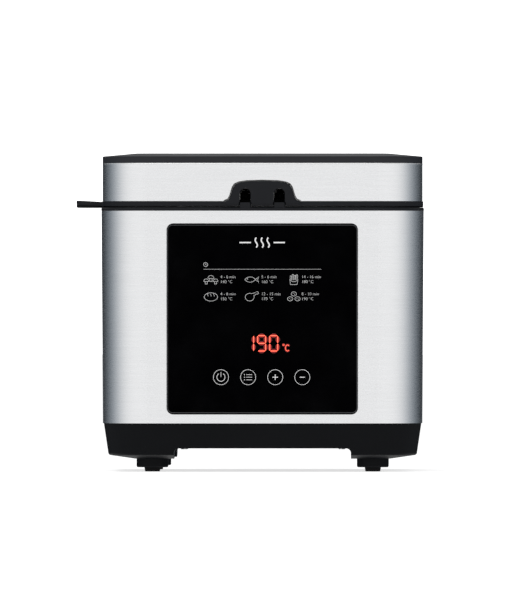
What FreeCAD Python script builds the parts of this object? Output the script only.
import FreeCAD, Part
import Sketcher
import os
import re

# Countertop deep fryer. Millimetres, +Z up, the front faces -Y, and the origin is at the
# bottom centre of the whole object's box. The grip tab sticks out at the left only, so the
# body's own axis stands a little to the right of the origin.
SIZES = {
    # body and lid, outside
    "body_width": 270.1, "body_foot_width": 267.7, "body_depth": 258, "corner_round": 38,
    "shell_wall": 0.8, "tab_tip": 157.3, "tab_width": 66, "tab_rise": 1.4,
    "lid_width": 268.1, "lid_depth": 256, "ring_width": 269.3, "ring_depth": 257.2,
    # levels above the table
    "foot_top": 3.5, "leg_bottom": 10.7, "leg_edge": 13.9, "arch_top": 19.5, "base_floor": 22.5,
    "base_top": 40.5, "shell_top": 218.2, "rim_top": 221.8, "rim_step": 221.0, "ring_bottom": 222.2,
    "ring_top": 226.1, "band_top": 258.1, "cover_bottom": 258.3, "cover_edge": 263.8,
    "crown": 266.4,
    # base and feet
    "base_width": 266, "base_depth": 254, "leg_width": 258.2, "leg_depth": 246.2,
    "leg_slope_run": 22, "arch_width": 148, "arch_round": 4, "side_arch": 136, "foot_x": 92.3, "foot_y": 88,
    "holder_radius": 13.35, "foot_radius": 6.8, "foot_sole_radius": 6.3,
    # panel
    "panel_width": 159.8, "panel_height": 159.7, "panel_middle": 127.8, "panel_proud": 1.6,
    "panel_round": 5.5, "bevel": 1.4, "window_width": 153.4, "window_height": 153.2, "digits_middle": 107.2,
    "key_pitch": 22.9, "key_level": 78.9,
    # hump and handle slots
    "slot_middle": 14.3, "slot_width": 9.2, "slot_top": 236.9, "hump_front": 129.9,
    "ledge_width": 9.8, "ledge_top": 225.2,
    # pot, liner and heater
    "pot_width": 214, "pot_depth": 198, "pot_round": 34, "pot_bottom": 92.1, "pot_wall": 0.8,
    "flange_width": 228, "flange_depth": 212, "flange_bottom": 222.1, "flange_top": 223.3,
    "liner_width": 236, "liner_depth": 220, "liner_floor": 70, "plate_radius": 80,
    "plate_bottom": 84, "plate_top": 91.8, "element_radius": 60, "element_tube": 4,
    # basket and handle
    "basket_width": 190, "basket_depth": 172, "basket_bottom": 97.2, "basket_top": 205,
    "pivot_y": -91, "pivot_level": 230, "rod_radius": 2.5, "handle_length": 150,
    "stowed_angle": -14, "pin_radius": 2,
    # inner lid
    "pan_width": 222, "pan_depth": 206, "pan_ceiling": 250,
}

doc = FreeCAD.newDocument("deep_fryer")
sheet = doc.addObject("Spreadsheet::Sheet", "sizes")
for row, (alias, size) in enumerate(SIZES.items(), start=1):
    sheet.set(f"A{row}", alias)
    sheet.set(f"B{row}", str(size))
    sheet.setAlias(f"B{row}", alias)
doc.recompute()

SIDE_SHIFT = "(tab_tip - body_width / 2) / 2"
CORNERS = ((-1, -1), (1, -1), (-1, 1), (1, 1))
subparts = []


# ---------------------------------------------------------------- helpers

def linked(expression):
    """The expression with each driving dimension read from the sheet."""
    return re.sub(r"[a-z_]+", lambda word: ("sizes." if word.group() in SIZES else "") + word.group(),
                  str(expression))


def number(expression):
    return float(sheet.evalExpression(linked(expression)))


def bind(feature, prop, expression):
    feature.setExpression(prop, linked(expression))


def new_part(label, x="0", y="0", z="0"):
    """A body for one sub-part, set at x, y, z from the fryer's own axis."""
    body = doc.addObject("PartDesign::Body", label)
    body.Label = label
    bind(body, "Placement.Base.x", f"{SIDE_SHIFT} + {x}")
    bind(body, "Placement.Base.y", y)
    bind(body, "Placement.Base.z", z)
    subparts.append(body)
    return body


def new_sketch(body, role="XY_Plane", level="0"):
    """A sketch on one of the body's own planes, moved along that plane's normal to level."""
    sketch = body.newObject("Sketcher::SketchObject", body.Label + "_sketch")
    plane = next(item for item in body.Origin.OriginFeatures if item.Role == role)
    sketch.AttachmentSupport = (plane, [""])
    sketch.MapMode = "FlatFace"
    bind(sketch, "AttachmentOffset.Base.z", level)
    return sketch


def constrain(sketch, expression, kind, *where):
    if expression is None:
        return sketch.addConstraint(Sketcher.Constraint(kind, *where))
    index = sketch.addConstraint(Sketcher.Constraint(kind, *where, number(expression)))
    bind(sketch, f"Constraints[{index}]", expression)
    return index


def pin_point(sketch, geometry, point, x, y):
    constrain(sketch, x, "DistanceX", -1, 1, geometry, point)
    constrain(sketch, y, "DistanceY", -1, 1, geometry, point)


def outline(sketch, points):
    """A closed outline of straight edges, each corner held by two bound distances."""
    places = [FreeCAD.Vector(number(x), number(y), 0) for x, y in points]
    first = sketch.GeometryCount
    count = len(points)
    for index, place in enumerate(places):
        sketch.addGeometry(Part.LineSegment(place, places[(index + 1) % count]))
    for index, (x, y) in enumerate(points):
        constrain(sketch, None, "Coincident", first + (index - 1) % count, 2, first + index, 1)
        pin_point(sketch, first + index, 1, x, y)
    return sketch


def circle(sketch, x, y, radius):
    centre = FreeCAD.Vector(number(x), number(y), 0)
    index = sketch.addGeometry(Part.Circle(centre, FreeCAD.Vector(0, 0, 1), number(radius)))
    pin_point(sketch, index, 3, x, y)
    constrain(sketch, radius, "Radius", index)
    return sketch


def rectangle(sketch, width, height, x="0", y="0"):
    left, right = f"({x}) - ({width}) / 2", f"({x}) + ({width}) / 2"
    low, high = f"({y}) - ({height}) / 2", f"({y}) + ({height}) / 2"
    return outline(sketch, [(left, low), (right, low), (right, high), (left, high)])


def rounded_rectangle(sketch, width, height, radius, x="0", y="0"):
    """A rectangle with round corners, its size, place and radius bound to expressions."""
    half_w, half_h, bend = number(width) / 2, number(height) / 2, number(radius)
    middle_x, middle_y = number(x), number(y)
    first = sketch.GeometryCount
    quarter = 1.5707963267948966
    for index, (side_x, side_y) in enumerate(((0, -1), (1, 0), (0, 1), (-1, 0))):
        along = FreeCAD.Vector(-side_y, side_x, 0)
        out = FreeCAD.Vector(side_x, side_y, 0)
        middle = FreeCAD.Vector(middle_x, middle_y, 0) + out * (half_h if side_x == 0 else half_w)
        reach = (half_w if side_x == 0 else half_h) - bend
        sketch.addGeometry(Part.LineSegment(middle - along * reach, middle + along * reach))
        centre = middle + along * reach - out * bend
        start = quarter * (index - 1)
        arc = Part.ArcOfCircle(Part.Circle(centre, FreeCAD.Vector(0, 0, 1), bend), start, start + quarter)
        sketch.addGeometry(arc)
    for index in range(4):
        line, arc, following = (first + (2 * index + step) % 8 for step in range(3))
        constrain(sketch, None, "Tangent", line, 2, arc, 1)
        constrain(sketch, None, "Tangent", arc, 2, following, 1)
        constrain(sketch, None, "Vertical" if index % 2 else "Horizontal", line)
        if index:
            constrain(sketch, None, "Equal", first + 1, arc)
    constrain(sketch, radius, "Radius", first + 1)
    constrain(sketch, f"({y}) - ({height}) / 2", "DistanceY", -1, 1, first, 1)
    constrain(sketch, f"({x}) + ({width}) / 2", "DistanceX", -1, 1, first + 2, 1)
    constrain(sketch, f"({y}) + ({height}) / 2", "DistanceY", -1, 1, first + 4, 1)
    constrain(sketch, f"({x}) - ({width}) / 2", "DistanceX", -1, 1, first + 6, 1)
    return sketch


def volume(body):
    doc.recompute()
    return body.Shape.Volume if body.Shape and not body.Shape.isNull() else 0.0


def feature(body, kind, sketch, grows, **bound):
    """One sketched feature. It has to add material, or to take some away."""
    before = volume(body)
    made = body.newObject("PartDesign::" + kind, kind)
    made.Profile = sketch
    for prop, setting in bound.items():
        if isinstance(setting, str) and prop in ("Length", "Angle"):
            bind(made, prop, setting)
        else:
            setattr(made, prop, setting)
    change = volume(body) - before
    if (change > 0) != grows or abs(change) < 1e-6:
        raise RuntimeError(f"{body.Label}: {kind} changed the volume by {change:.3f}")
    return made


def pad(body, sketch, length, **more):
    return feature(body, "Pad", sketch, True, Length=length, **more)


def pocket(body, sketch, length, **more):
    return feature(body, "Pocket", sketch, False, Length=length, **more)


def loft(body, low, high, grows=True):
    kind = "AdditiveLoft" if grows else "SubtractiveLoft"
    return feature(body, kind, low, grows, Sections=[high], Ruled=True)


def revolve(body, sketch, grows=True, angle="360"):
    kind = "Revolution" if grows else "Groove"
    return feature(body, kind, sketch, grows, ReferenceAxis=(sketch, ["V_Axis"]), Angle=angle)


def turned(label, points, x="0", y="0", z="0"):
    """A part turned about its own upright axis, from (radius, level) corners."""
    body = new_part(label, x, y, z)
    revolve(body, outline(new_sketch(body, "XZ_Plane"), points))
    return body


def block(label, width, depth, low, high, x="0", y="0", round_corner=None):
    """An upright prism with a rectangular or rounded plan."""
    body = new_part(label)
    add_block(body, width, depth, low, high, x, y, round_corner)
    return body


def add_block(body, width, depth, low, high, x="0", y="0", round_corner=None):
    sketch = new_sketch(body, level=low)
    if round_corner:
        rounded_rectangle(sketch, width, depth, round_corner, x, y)
    else:
        rectangle(sketch, width, depth, x, y)
    return pad(body, sketch, f"({high}) - ({low})")


def cut_block(body, width, depth, low, high, x="0", y="0", round_corner=None):
    sketch = new_sketch(body, level=high)
    if round_corner:
        rounded_rectangle(sketch, width, depth, round_corner, x, y)
    else:
        rectangle(sketch, width, depth, x, y)
    return pocket(body, sketch, f"({high}) - ({low})")


def studs(body, places, radius, low, high, grows=True):
    """Upright round studs or holes at several places."""
    sketch = new_sketch(body, level=low if grows else high)
    for x, y in places:
        circle(sketch, x, y, radius)
    return (pad if grows else pocket)(body, sketch, f"({high}) - ({low})")


def screws(label, places, low, high, head_low, head_high):
    """Pan-head screws as one group of separate solids, shank from low to high."""
    body = new_part(label)
    studs(body, places, "1.4", low, high)
    studs(body, places, "2.8", head_low, head_high)
    return body


def round_edges(body, radius, wanted):
    """Round the body's edges that wanted() picks."""
    base = body.Tip
    picked = [f"Edge{index}" for index, edge in enumerate(base.Shape.Edges, start=1) if wanted(edge)]
    if not picked:
        raise RuntimeError(f"{body.Label}: no edge to round")
    made = body.newObject("PartDesign::Fillet", "Fillet")
    made.Base = (base, picked)
    bind(made, "Radius", radius)
    doc.recompute()
    return made


def repeat_along_x(body, original, count, span):
    """Repeat a feature count times over span, towards +X."""
    before = volume(body)
    pattern = body.newObject("PartDesign::LinearPattern", "LinearPattern")
    pattern.Originals = [original]
    axis = next(item for item in body.Origin.OriginFeatures if item.Role == "X_Axis")
    pattern.Direction = (axis, [""])
    pattern.Length = span
    pattern.Occurrences = count
    body.Tip = pattern
    if abs(volume(body) - before) < 1:
        raise RuntimeError(f"{body.Label}: the pattern changed nothing")


def upright(edge):
    return abs(abs(edge.tangentAt(edge.FirstParameter).z) - 1) < 1e-3 and edge.BoundBox.XLength < 0.5


def at_level(level):
    """Picks the edges that lie flat at a level."""
    return lambda edge: edge.BoundBox.ZLength < 1e-3 and abs(edge.BoundBox.ZMin - number(level)) < 1e-3


def around(radius, count=4, start=45):
    """Places on a circle about the fryer's axis, as sheet expressions."""
    turns = [start + 360 / count * index for index in range(count)]
    return [(f"{radius} * cos({turn})", f"{radius} * sin({turn})") for turn in turns]


# ---------------------------------------------------------------- base and feet

def make_feet():
    names = ("front_left", "front_right", "rear_left", "rear_right")
    for name, (side, end) in zip(names, CORNERS):
        x, y = f"{side} * foot_x", f"{end} * foot_y"
        turned("rubber_foot_" + name, [
            ("0", "0"), ("foot_sole_radius - 0.4", "0"), ("foot_sole_radius", "0.4"),
            ("foot_radius", "foot_top"), ("4", "foot_top"), ("4", "foot_top + 4"), ("0", "foot_top + 4"),
        ], x, y)
        turned("foot_holder_" + name, [
            ("4.1", "foot_top"), ("holder_radius - 0.8", "foot_top"), ("holder_radius", "foot_top + 0.8"),
            ("holder_radius", "leg_bottom"), ("4", "leg_bottom"), ("4", "leg_bottom + 6"),
            ("0", "leg_bottom + 6"), ("0", "foot_top + 4.2"), ("4.1", "foot_top + 4.2"),
        ], x, y)


def make_base():
    base = new_part("base_housing")
    sole = new_sketch(base, level="leg_bottom")
    rounded_rectangle(sole, "leg_width - 2 * leg_slope_run", "leg_depth - 2 * leg_slope_run", "12")
    edge = rounded_rectangle(new_sketch(base, level="leg_edge"), "leg_width", "leg_depth",
                             "corner_round - 4")
    loft(base, sole, edge)
    edge = rounded_rectangle(new_sketch(base, level="leg_edge"), "leg_width", "leg_depth",
                             "corner_round - 4")
    top = rounded_rectangle(new_sketch(base, level="base_top"), "base_width", "base_depth",
                            "corner_round - 2")
    loft(base, edge, top)
    round_edges(base, "2.5", at_level("leg_edge"))
    front_arch = new_sketch(base, "XZ_Plane", "body_depth / 2")
    rounded_rectangle(front_arch, "arch_width", "20", "arch_round", "0", "arch_top - 10")
    pocket(base, front_arch, "body_depth")
    side_arch = new_sketch(base, "YZ_Plane", "body_width / 2")
    rounded_rectangle(side_arch, "side_arch", "20", "arch_round", "0", "arch_top - 10")
    pocket(base, side_arch, "body_width")
    floor = rounded_rectangle(new_sketch(base, level="base_floor"), "leg_width - 4", "leg_depth - 4",
                              "corner_round - 7")
    rim = rounded_rectangle(new_sketch(base, level="base_top"), "base_width - 7", "base_depth - 7",
                            "corner_round - 5.5")
    loft(base, floor, rim, grows=False)
    hollows = new_sketch(base, level="base_floor")
    for side, end in CORNERS:
        rectangle(hollows, "24", "24", f"{side} * foot_x", f"{end} * foot_y")
    pocket(base, hollows, "base_floor - leg_edge")
    studs(base, [(f"{side} * foot_x", f"{end} * foot_y") for side, end in CORNERS], "4.1",
          "leg_bottom", "leg_edge", grows=False)
    cut_block(base, "126", "118", "arch_top", "base_floor", round_corner="8")
    cut_block(base, "140", "132", "arch_top", "arch_top + 1.5", round_corner="10")
    studs(base, cover_screw_places(), "1.5", "arch_top", "base_floor", grows=False)

    cover = block("bottom_cover", "139.2", "131.2", "arch_top + 0.1", "arch_top + 1.5", round_corner="9.6")
    vents = new_sketch(cover, level="arch_top + 1.5")
    for end in (-1, 1):
        rounded_rectangle(vents, "5", "36", "2.4", "-44", f"{end} * 24")
    repeat_along_x(cover, pocket(cover, vents, "2"), 9, 88)
    studs(cover, cover_screw_places(), "1.5", "arch_top", "base_floor", grows=False)
    screws("cover_screws", cover_screw_places(), "arch_top + 0.1", "base_floor", "arch_top - 1.4",
           "arch_top + 0.1")


def cover_screw_places():
    return [(f"{side} * 66.3", f"{step} * 45") for side in (-1, 1) for step in (-1, 0, 1)]


# ---------------------------------------------------------------- steel shell, rim and liner

def make_shell():
    shell = new_part("outer_shell")
    low = rounded_rectangle(new_sketch(shell, level="base_top"), "body_foot_width", "body_depth",
                            "corner_round")
    high = rounded_rectangle(new_sketch(shell, level="shell_top"), "body_width", "body_depth",
                             "corner_round")
    loft(shell, low, high)
    wall = "2 * shell_wall"
    low = rounded_rectangle(new_sketch(shell, level="base_top"), f"body_foot_width - {wall}",
                            f"body_depth - {wall}", "corner_round - shell_wall")
    high = rounded_rectangle(new_sketch(shell, level="shell_top"), f"body_width - {wall}",
                             f"body_depth - {wall}", "corner_round - shell_wall")
    loft(shell, low, high, grows=False)
    window = new_sketch(shell, "XZ_Plane", "body_depth / 2 + 1")
    rounded_rectangle(window, "window_width", "window_height", "3", "0", "panel_middle")
    pocket(shell, window, "4")
    gland_hole = new_sketch(shell, "XZ_Plane", "3 - body_depth / 2")
    circle(gland_hole, "0", "56", "6.2")
    pocket(shell, gland_hole, "5")

    liner = block("inner_liner", "liner_width", "liner_depth", "liner_floor", "shell_top",
                  round_corner="40")
    cut_block(liner, "liner_width - 1.4", "liner_depth - 1.4", "liner_floor + 0.7", "shell_top",
              round_corner="39.3")
    studs(liner, [("0", "0")], "plate_radius + 3", "liner_floor", "liner_floor + 0.7", grows=False)


def make_rim():
    rim = block("top_rim", "body_width + 0.3", "body_depth + 0.3", "shell_top", "rim_step",
                round_corner="corner_round")
    round_edges(rim, "1.2", at_level("rim_step"))
    round_edges(rim, "0.7", at_level("shell_top"))
    add_block(rim, "body_width - 6", "body_depth - 6", "rim_step", "rim_top",
              round_corner="corner_round - 3")
    add_block(rim, "body_width - 2.6", "body_depth - 2.4", "shell_top - 12", "shell_top",
              round_corner="corner_round - 1.2")
    cut_block(rim, "body_width - 7", "body_depth - 7", "shell_top - 12", "shell_top",
              round_corner="corner_round - 3.5")
    cut_block(rim, "pot_width + 2.4", "pot_depth + 2.4", "shell_top", "rim_top",
              round_corner="pot_round + 1.2")
    for side in (-1, 1):
        add_block(rim, "ledge_width", "8", "rim_top - 1.4", "ledge_top", f"{side} * slot_middle",
                  "4.6 - body_depth / 2", "1.2")


# ---------------------------------------------------------------- control panel

def make_panel():
    glass = new_part("panel_glass")
    face = new_sketch(glass, "XZ_Plane", "body_depth / 2")
    rounded_rectangle(face, "panel_width", "panel_height", "panel_round", "0", "panel_middle")
    pad(glass, face, "panel_proud - 0.5")
    flat = new_sketch(glass, "XZ_Plane", "body_depth / 2 + panel_proud - 0.5")
    rounded_rectangle(flat, "panel_width", "panel_height", "panel_round", "0", "panel_middle")
    edge = new_sketch(glass, "XZ_Plane", "body_depth / 2 + panel_proud")
    rounded_rectangle(edge, "panel_width - 2 * bevel", "panel_height - 2 * bevel",
                      "panel_round - bevel", "0",
                      "panel_middle")
    loft(glass, flat, edge)

    carrier = new_part("panel_carrier")
    back = new_sketch(carrier, "XZ_Plane", "body_depth / 2 - 10")
    rounded_rectangle(back, "window_width - 0.6", "window_height - 0.6", "2.7", "0", "panel_middle")
    pad(carrier, back, "10")
    hollow = new_sketch(carrier, "XZ_Plane", "body_depth / 2 - 2")
    rounded_rectangle(hollow, "window_width - 5", "window_height - 5", "1", "0", "panel_middle")
    pocket(carrier, hollow, "9")
    openings = new_sketch(carrier, "XZ_Plane", "body_depth / 2 + 1")
    rectangle(openings, "46", "20", "4", "digits_middle")
    for step in (-1.5, -0.5, 0.5, 1.5):
        circle(openings, f"{step} * key_pitch", "key_level", "5.4")
    pocket(carrier, openings, "4")

    display = new_part("display_module")
    face = rectangle(new_sketch(display, "XZ_Plane", "body_depth / 2 - 7"), "45.4", "19.4", "4",
                     "digits_middle")
    pad(display, face, "6.9")
    pads = new_part("touch_pads")
    face = new_sketch(pads, "XZ_Plane", "body_depth / 2 - 7")
    for step in (-1.5, -0.5, 0.5, 1.5):
        circle(face, f"{step} * key_pitch", "key_level", "5")
    pad(pads, face, "6.9")
    board = new_part("control_board")
    face = rounded_rectangle(new_sketch(board, "XZ_Plane", "body_depth / 2 - 8.6"), "140", "72", "2",
                             "0", "94")
    pad(board, face, "1.6")
    posts = [(f"{side} * 66", level) for side in (-1, 1) for level in ("62", "126")]
    holes = new_sketch(board, "XZ_Plane", "body_depth / 2")
    for x, z in posts:
        circle(holes, x, z, "1.5")
    pocket(board, holes, "10")
    bosses = new_sketch(carrier, "XZ_Plane", "body_depth / 2 - 7")
    for x, z in posts:
        circle(bosses, x, z, "4")
    pad(carrier, bosses, "5")
    holes = new_sketch(carrier, "XZ_Plane", "body_depth / 2 - 3")
    for x, z in posts:
        circle(holes, x, z, "1.5")
    pocket(carrier, holes, "5")
    board_screws = new_part("board_screws")
    for radius, level, length in (("1.4", "body_depth / 2 - 8.6", "5"), ("2.8", "body_depth / 2 - 10.2",
                                                                         "1.6")):
        face = new_sketch(board_screws, "XZ_Plane", level)
        for x, z in posts:
            circle(face, x, z, radius)
        pad(board_screws, face, length)
    buzzer = new_part("buzzer")
    face = circle(new_sketch(buzzer, "XZ_Plane", "body_depth / 2 - 14.6"), "50", "100", "6.5")
    pad(buzzer, face, "6")


# ---------------------------------------------------------------- mains side

def make_electrics():
    places = [(f"{side} * 56", y) for side in (-1, 1) for y in ("72", "108")]
    standoffs = new_part("board_standoffs")
    studs(standoffs, places, "3.2", "base_floor", "base_floor + 6")
    block("power_board", "124", "46", "base_floor + 6", "base_floor + 7.6", "0", "90", "2")
    block("power_relay", "20", "15.5", "base_floor + 7.6", "base_floor + 23", "-40", "94", "1")
    block("transformer", "32", "27", "base_floor + 7.6", "base_floor + 31", "34", "90", "1.5")
    block("terminal_block", "34", "14", "base_floor + 7.6", "base_floor + 20", "-5", "102", "1")

    gland = new_part("cord_gland", "0", "0", "56")
    profile = new_sketch(gland, "YZ_Plane")
    outline(profile, [
        ("body_depth / 2 - 6", "3.6"), ("body_depth / 2 + 3.4", "3.6"), ("body_depth / 2 + 3.4", "6.4"),
        ("body_depth / 2 + 2.4", "8.8"), ("body_depth / 2 + 0.1", "8.8"), ("body_depth / 2 + 0.1", "6"),
        ("body_depth / 2 - 0.9", "6"), ("body_depth / 2 - 0.9", "8.2"), ("body_depth / 2 - 4", "8.2"),
        ("body_depth / 2 - 4", "6"), ("body_depth / 2 - 6", "6"),
    ])
    feature(gland, "Revolution", profile, True, ReferenceAxis=(profile, ["H_Axis"]), Angle="360")


# ---------------------------------------------------------------- heater and sensor

def make_heater():
    plate = turned("heating_plate", [
        ("9", "plate_bottom"), ("plate_radius", "plate_bottom"), ("plate_radius", "plate_top - 1.5"),
        ("plate_radius - 1.5", "plate_top"), ("9", "plate_top"),
    ])
    groove = circle(new_sketch(plate, "XZ_Plane"), "element_radius", "plate_bottom", "element_tube + 0.1")
    revolve(plate, groove, grows=False)

    element = new_part("heating_element")
    ring = circle(new_sketch(element, "XZ_Plane"), "element_radius", "plate_bottom", "element_tube")
    revolve(element, ring, angle="330")
    ends = new_sketch(element, level="plate_bottom - 20")
    circle(ends, "element_radius * cos(3)", "element_radius * sin(3)", "2")
    circle(ends, "element_radius * cos(327)", "element_radius * sin(327)", "2")
    pad(element, ends, "18")

    bracket = block("element_bracket", "200", "110", "base_floor", "base_floor + 1.5", round_corner="6")
    cut_block(bracket, "84", "60", "base_floor", "base_floor + 1.5", round_corner="6")
    studs(bracket, around("72"), "1.6", "base_floor", "base_floor + 1.5", grows=False)
    posts = new_part("plate_posts")
    studs(posts, around("72"), "3.5", "base_floor + 1.5", "plate_bottom")
    cutout = new_part("thermal_cutout")
    studs(cutout, [("30", "30")], "8", "plate_bottom - 9", "plate_bottom")

    turned("sensor_sleeve", [
        ("3", "66"), ("8.8", "66"), ("8.8", "plate_top - 4"), ("7", "plate_top - 4"), ("7", "67.5"),
        ("3", "67.5"),
    ])
    turned("sensor_cap", [
        ("0", "74.5"), ("3.4", "74.5"), ("3.4", "79"), ("6.7", "79"), ("6.7", "plate_top - 0.8"),
        ("5.9", "plate_top"), ("0", "plate_top"),
    ])
    spring = new_part("sensor_spring")
    wire = circle(new_sketch(spring, "XZ_Plane"), "5.2", "68.5", "0.5")
    coil = spring.newObject("PartDesign::AdditiveHelix", "Coil")
    coil.Profile = wire
    coil.ReferenceAxis = (wire, ["V_Axis"])
    coil.Mode = "pitch-height-angle"
    coil.Pitch = 1.9
    coil.Height = 7.6
    doc.recompute()


# ---------------------------------------------------------------- pot

def make_pot():
    pot = new_part("oil_pot")
    low = rounded_rectangle(new_sketch(pot, level="pot_bottom"), "pot_width - 12", "pot_depth - 12",
                            "pot_round - 4")
    high = rounded_rectangle(new_sketch(pot, level="flange_bottom"), "pot_width", "pot_depth", "pot_round")
    loft(pot, low, high)
    add_block(pot, "flange_width", "flange_depth", "flange_bottom", "flange_top",
              round_corner="pot_round + 7")
    wall = "2 * pot_wall"
    low = rounded_rectangle(new_sketch(pot, level="pot_bottom + pot_wall"), f"pot_width - 12 - {wall}",
                            f"pot_depth - 12 - {wall}", "pot_round - 4 - pot_wall")
    high = rounded_rectangle(new_sketch(pot, level="flange_top"), f"pot_width - {wall}",
                             f"pot_depth - {wall}", "pot_round - pot_wall")
    loft(pot, low, high, grows=False)
    round_edges(pot, "7 - pot_wall", at_level("pot_bottom + pot_wall"))
    round_edges(pot, "7", at_level("pot_bottom"))


# ---------------------------------------------------------------- basket

def make_basket():
    mesh = new_part("basket_mesh")
    low = rounded_rectangle(new_sketch(mesh, level="basket_bottom"), "basket_width - 10",
                            "basket_depth - 10", "24")
    high = rounded_rectangle(new_sketch(mesh, level="basket_top"), "basket_width", "basket_depth", "28")
    loft(mesh, low, high)
    low = rounded_rectangle(new_sketch(mesh, level="basket_bottom + 1.4"), "basket_width - 12.8",
                            "basket_depth - 12.8", "22.6")
    high = rounded_rectangle(new_sketch(mesh, level="basket_top"), "basket_width - 2.8",
                             "basket_depth - 2.8", "26.6")
    loft(mesh, low, high, grows=False)

    rim = block("basket_rim", "basket_width + 1.2", "basket_depth + 1.2", "basket_top", "basket_top + 4",
                round_corner="28.6")
    cut_block(rim, "basket_width - 6.8", "basket_depth - 6.8", "basket_top", "basket_top + 4",
              round_corner="24.6")
    round_edges(rim, "1.9", lambda edge: edge.BoundBox.ZLength < 1e-3)

    skids = new_part("basket_skids")
    profile = new_sketch(skids, "YZ_Plane", "-60")
    for end in (-1, 1):
        circle(profile, f"{end} * 45", "basket_bottom - 2", "1.9")
    pad(skids, profile, "120")

    bracket = new_part("handle_bracket")
    add_block(bracket, "42", "2", "basket_top - 14", "basket_top", "0", "-basket_depth / 2 - 1.6")
    add_block(bracket, "42", "2.6", "basket_top", "pivot_level - 8", "0", "-basket_depth / 2 - 2.1")
    for side in (-1, 1):
        add_block(bracket, "2", "9", "pivot_level - 8", "pivot_level + 5", f"{side} * 20", "pivot_y")
    bore = circle(new_sketch(bracket, "YZ_Plane", "-30"), "pivot_y", "pivot_level", "pin_radius + 0.05")
    feature(bracket, "Pocket", bore, False, Length="60", Reversed=True)
    round_edges(bracket, "4", lambda edge: edge.BoundBox.ZMin > number("pivot_level + 4.9")
                and edge.BoundBox.YLength < 1e-3)

    pin = new_part("handle_pin")
    shank = circle(new_sketch(pin, "YZ_Plane", "-22.4"), "pivot_y", "pivot_level", "pin_radius")
    pad(pin, shank, "44.8")

    hook = new_part("drain_hook")
    path = new_sketch(hook, "YZ_Plane", "-12")
    outline(path, [
        ("basket_depth / 2 - 1.2", "basket_top + 4.1"), ("basket_depth / 2 - 1.2", "basket_top + 8"),
        ("basket_depth / 2 + 8", "basket_top + 8"), ("basket_depth / 2 + 8", "basket_top + 1"),
        ("basket_depth / 2 + 6", "basket_top + 1"), ("basket_depth / 2 + 6", "basket_top + 6"),
        ("basket_depth / 2 + 0.8", "basket_top + 6"), ("basket_depth / 2 + 0.8", "basket_top + 4.1"),
    ])
    pad(hook, path, "24")


def make_handle():
    """The handle is drawn along +Y from its pivot and then tipped to its stowed angle."""
    for label in ("handle_rods", "handle_grip"):
        part = new_part(label, "0", "pivot_y", "pivot_level")
        part.Placement.Rotation = FreeCAD.Rotation(FreeCAD.Vector(1, 0, 0), SIZES["stowed_angle"])
        bind(part, "Placement.Rotation.Angle", "-stowed_angle")
        part.setExpression("Placement.Rotation.Axis.x", "-1")
    rods, grip = subparts[-2:]
    for side in (-1, 1):
        x = f"{side} * slot_middle"
        eye = circle(new_sketch(rods, "YZ_Plane", f"{x} - rod_radius"), "0", "0", "5")
        pad(rods, eye, "2 * rod_radius")
    shafts = new_sketch(rods, "XZ_Plane", "-(handle_length - 40)")
    for side in (-1, 1):
        circle(shafts, f"{side} * slot_middle", "0", "rod_radius")
    pad(rods, shafts, "handle_length - 43.6")
    bore = circle(new_sketch(rods, "YZ_Plane", "-30"), "0", "0", "pin_radius + 0.05")
    feature(rods, "Pocket", bore, False, Length="60", Reversed=True)

    body = new_sketch(grip, level="-6.5")
    outline(body, [
        ("-19", "handle_length - 66"), ("19", "handle_length - 66"), ("21", "handle_length - 40"),
        ("18", "handle_length"), ("-18", "handle_length"), ("-21", "handle_length - 40"),
    ])
    pad(grip, body, "13")
    round_edges(grip, "7", lambda edge: upright(edge) and edge.BoundBox.YMin > number("handle_length - 10"))
    round_edges(grip, "3.5", lambda edge: edge.BoundBox.ZLength < 1e-3)
    holes = new_sketch(grip, "XZ_Plane", "-(handle_length - 67)")
    for side in (-1, 1):
        circle(holes, f"{side} * slot_middle", "0", "rod_radius + 0.05")
    pocket(grip, holes, "27.2")


# ---------------------------------------------------------------- lid

HUMP = (("34", "ring_top - 2"), ("31", "ring_top + 0.1"), ("28.2", "ring_top + 1.3"),
        ("26.6", "ring_top + 4.2"),
        ("24.6", "ring_top + 11.2"), ("22.6", "ring_top + 14"), ("19.2", "ring_top + 15.6"),
        ("12.5", "ring_top + 16.7"), ("0", "ring_top + 17.1"))


def hump_outline(sketch, gap="0", low="ring_top - 2"):
    """The hump's outline, mirrored about the middle and grown outwards by gap."""
    right = [(f"{x} + {gap}" if x != "0" else "0", f"{z} + {gap}") for x, z in HUMP]
    right[0] = (right[0][0], low)
    left = [(f"-({x})", z) for x, z in reversed(right[:-1])]
    return outline(sketch, right + left)


def make_lid_frame():
    frame = new_part("lid_frame")
    make_tab(frame)
    add_block(frame, "ring_width", "ring_depth", "ring_bottom", "ring_top",
              round_corner="corner_round - 0.5")
    hump = new_sketch(frame, "XZ_Plane", "hump_front - 9")
    hump_outline(hump)
    pad(frame, hump, "9")
    front = number("-hump_front")
    round_edges(frame, "1.1", lambda edge: edge.BoundBox.YLength < 1e-3
                and abs(edge.BoundBox.YMin - front) < 1e-3 and edge.BoundBox.ZMax > number("ring_top + 0.1"))
    cut_block(frame, "flange_width + 4", "flange_depth + 4", "ring_bottom", "ring_top",
              round_corner="pot_round + 9")
    slots = new_sketch(frame, "XZ_Plane", "hump_front + 1")
    for side in (-1, 1):
        middle = f"{side} * slot_middle"
        rounded_rectangle(slots, "slot_width", "30", "slot_width / 2 - 0.1", middle, "slot_top - 15")
    pocket(frame, slots, "26")
    notches = new_sketch(frame, "XZ_Plane", "hump_front + 1")
    for side in (-1, 1):
        rectangle(notches, "ledge_width + 0.8", "6", f"{side} * slot_middle", "ledge_top - 2.8")
    pocket(frame, notches, "26")
    studs(frame, lid_screw_places(), "1.5", "ring_top - 3", "ring_top", grows=False)


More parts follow.
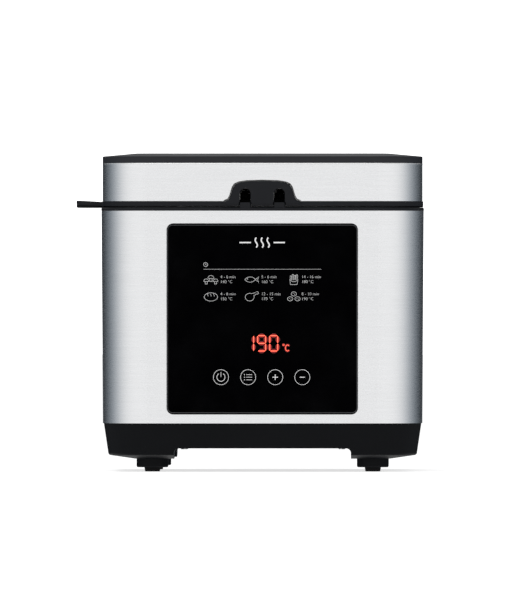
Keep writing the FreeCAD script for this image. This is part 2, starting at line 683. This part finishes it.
def make_tab(frame):
    """The grip tab at the left rises a little towards its tip."""
    root = new_sketch(frame, "YZ_Plane", "1 - ring_width / 2")
    rectangle(root, "tab_width", "ring_top - ring_bottom", "0", "(ring_top + ring_bottom) / 2")
    tip = new_sketch(frame, "YZ_Plane", "-tab_tip")
    rectangle(tip, "tab_width", "ring_top - ring_bottom - 0.2", "0",
              "(ring_top + ring_bottom) / 2 + tab_rise")
    loft(frame, root, tip)
    tip_x = number("-tab_tip")
    round_edges(frame, "14", lambda edge: edge.BoundBox.XMax < tip_x + 0.5
                and edge.BoundBox.YLength < 1e-3 and edge.BoundBox.ZLength > 2)
    round_edges(frame, "0.9", lambda edge: edge.BoundBox.XMax < tip_x + 0.5 and edge.BoundBox.YLength > 20)


def make_lid_shells():
    band = block("lid_band", "lid_width", "lid_depth", "ring_top + 0.2", "band_top",
                 round_corner="corner_round - 1")
    cut_block(band, "lid_width - 1.6", "lid_depth - 1.6", "ring_top + 0.2", "band_top",
              round_corner="corner_round - 1.8")
    opening = new_sketch(band, "XZ_Plane", "lid_depth / 2 + 1")
    hump_outline(opening, "0.9", "ring_top - 4")
    pocket(band, opening, "12")

    top = block("lid_top", "lid_width", "lid_depth", "cover_bottom", "cover_edge",
                round_corner="corner_round - 1")
    low = rounded_rectangle(new_sketch(top, level="cover_edge"), "lid_width", "lid_depth",
                            "corner_round - 1")
    high = rounded_rectangle(new_sketch(top, level="crown"), "lid_width - 56", "lid_depth - 56", "14")
    loft(top, low, high)
    round_edges(top, "1", at_level("cover_edge"))
    cut_block(top, "lid_width - 8", "lid_depth - 8", "cover_bottom", "cover_bottom + 2.4",
              round_corner="corner_round - 5")
    cut_block(top, "92.6", "56.6", "cover_bottom", "crown + 1", "0", "62", "6.3")


def lid_screw_places():
    return [(f"{side} * 116.5", y) for side in (-1, 1) for y in ("-50", "50")] + [
        (x, f"{end} * 108.5") for end in (-1, 1) for x in ("-50", "50")]


def make_inner_lid():
    pan = block("lid_inner", "flange_width + 14", "flange_depth + 14", "ring_top", "ring_top + 0.8",
                round_corner="pot_round + 12")
    add_block(pan, "pan_width", "pan_depth", "ring_top + 0.8", "pan_ceiling", round_corner="pot_round + 2")
    cut_block(pan, "pan_width - 1.6", "pan_depth - 1.6", "ring_top", "pan_ceiling - 0.8",
              round_corner="pot_round + 1.2")
    inlets = new_sketch(pan, level="pan_ceiling")
    for column in range(-5, 6):
        for line in range(-2, 3):
            circle(inlets, f"{column} * 6.6", f"62 + {line} * 7", "2")
    pocket(pan, inlets, "2")
    slots = new_sketch(pan, "XZ_Plane", "pan_depth / 2 + 9")
    for side in (-1, 1):
        rectangle(slots, "slot_width", "14", f"{side} * slot_middle", "slot_top - 7")
    pocket(pan, slots, "14")
    studs(pan, lid_screw_places(), "1.5", "ring_top", "ring_top + 0.8", grows=False)
    screws("lid_screws", lid_screw_places(), "ring_top - 2.8", "ring_top + 0.8", "ring_top + 0.8",
           "ring_top + 2.4")

    gasket = block("lid_gasket", "flange_width + 1", "flange_depth + 1", "flange_top + 0.4", "ring_top",
                   round_corner="pot_round + 8.5")
    cut_block(gasket, "pan_width - 2", "pan_depth - 2", "flange_top + 0.4", "ring_top",
              round_corner="pot_round + 1")


def make_filter():
    tray = block("filter_tray", "96", "60", "pan_ceiling", "cover_bottom + 2.4", "0", "62", "8")
    cut_block(tray, "92.6", "56.6", "pan_ceiling", "cover_bottom + 2.4", "0", "62", "6.3")
    frame = block("filter_frame", "91.6", "55.6", "pan_ceiling + 0.3", "pan_ceiling + 9", "0", "62", "5.8")
    cut_block(frame, "84", "48", "pan_ceiling + 0.3", "pan_ceiling + 9", "0", "62", "3")
    block("filter_pad", "83.8", "47.8", "pan_ceiling + 1", "pan_ceiling + 8", "0", "62", "2.8")

    cover = block("filter_cover", "91.6", "55.6", "crown - 2.6", "crown - 0.2", "0", "62", "5.8")
    add_block(cover, "91.6", "55.6", "pan_ceiling + 9.3", "crown - 2.6", "0", "62", "5.8")
    cut_block(cover, "87.6", "51.6", "pan_ceiling + 9.3", "crown - 2.6", "0", "62", "3.8")
    vents = rounded_rectangle(new_sketch(cover, level="crown"), "3", "36", "1.4", "-36", "60")
    repeat_along_x(cover, pocket(cover, vents, "4"), 13, 72)
    notch = rounded_rectangle(new_sketch(cover, level="crown"), "24", "5", "2.4", "0", "84.4")
    pocket(cover, notch, "1.4")


# ---------------------------------------------------------------- build, check and write

make_feet()
make_base()
make_shell()
make_rim()
make_panel()
make_electrics()
make_heater()
make_pot()
make_basket()
make_handle()
make_lid_frame()
make_lid_shells()
make_inner_lid()
make_filter()
doc.recompute()

failed = [item.Label for item in doc.Objects if {"Invalid", "Error"} & set(item.State)]
failed += [part.Label for part in subparts if part.Shape.isNull() or not part.Shape.isValid()]
if failed:
    raise RuntimeError("failed: " + ", ".join(failed))
os.makedirs("parts", exist_ok=True)
for part in subparts:
    part.Shape.exportStep(f"parts/{part.Label}.step")
    print(f"{part.Label:28s} {len(part.Shape.Solids)} solids {part.Shape.Volume / 1000:9.2f} cm3")
